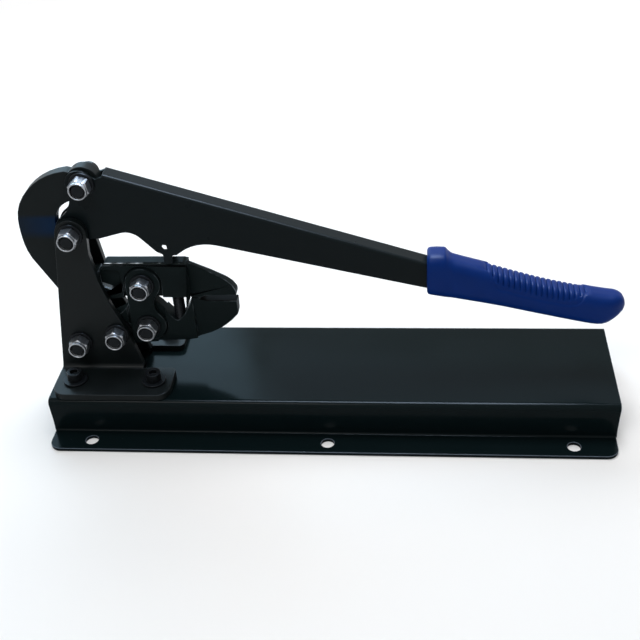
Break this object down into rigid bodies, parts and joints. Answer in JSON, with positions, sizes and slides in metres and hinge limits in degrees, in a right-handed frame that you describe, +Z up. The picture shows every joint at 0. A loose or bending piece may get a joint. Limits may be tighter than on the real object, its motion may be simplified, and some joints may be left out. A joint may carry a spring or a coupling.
{
  "type": "bench crimper",
  "caption": "Bench crimper on a long drilled base: a lever with a soft grip closes short jaws through a C-shaped toggle link held in a frame.",
  "frame": {"origin": "centre of the base's underside, in the middle of its mounting holes", "axes": "+X along the base towards the grip's end, -Y towards the front, +Z up from the surface that the base stands on"},
  "size_m": [0.3837, 0.1264, 0.1783],
  "materials": {
    "base_enamel": "gloss black enamel",
    "frame_enamel": "satin black enamel",
    "handle_enamel": "semi-gloss black enamel",
    "jaw_steel": "blackened forged steel",
    "black_oxide": "black oxide",
    "zinc": "bright zinc plate",
    "bare_steel": "ground steel",
    "grip_blue": "soft blue plastic"
  },
  "bodies": {
    "stand": {"base_channel": "base_enamel", "frame_plate_front": "frame_enamel", "frame_plate_rear": "frame_enamel", "foot_screws": "black_oxide", "foot_washers": "black_oxide", "foot_nuts": "zinc", "lower_jaw": "jaw_steel", "jaw_spacers": "black_oxide", "frame_bolts": "black_oxide", "frame_nuts": "zinc", "frame_washers": "black_oxide", "pivot_bush": "bare_steel", "link_plate_front": "jaw_steel", "link_plate_rear": "jaw_steel", "jaw_bolts": "black_oxide", "jaw_nuts": "zinc", "jaw_washers": "black_oxide", "stop_screw": "black_oxide"},
    "handle": {"handle_channel": "handle_enamel", "grip": "grip_blue", "toggle_bolt": "black_oxide", "toggle_nut": "zinc", "toggle_washers": "black_oxide"},
    "toggle": {"toggle_link": "frame_enamel"},
    "jaw": {"upper_jaw": "jaw_steel", "toggle_pin": "bare_steel"}
  },
  "joints": [
    {"name": "handle_lift", "type": "hinge", "parent": "stand", "child": "handle", "pos_m": [-0.159, 0, 0.135], "axis": [0, -1, 0], "range_deg": [0, 60]},
    {"name": "toggle_turn", "type": "hinge", "parent": "handle", "child": "toggle", "pos_m": [-0.147, 0, 0.168], "axis": [0, -1, 0], "range_deg": [-33.5, 0]},
    {"name": "jaw_open", "type": "hinge", "parent": "stand", "child": "jaw", "pos_m": [-0.12, 0, 0.095], "axis": [0, -1, 0], "range_deg": [0, 6.8]}
  ],
  "couplings": [
    {"joint": "toggle_turn", "follows": "handle_lift", "ratio": -0.551},
    {"joint": "jaw_open", "follows": "handle_lift", "ratio": 0.11}
  ]
}
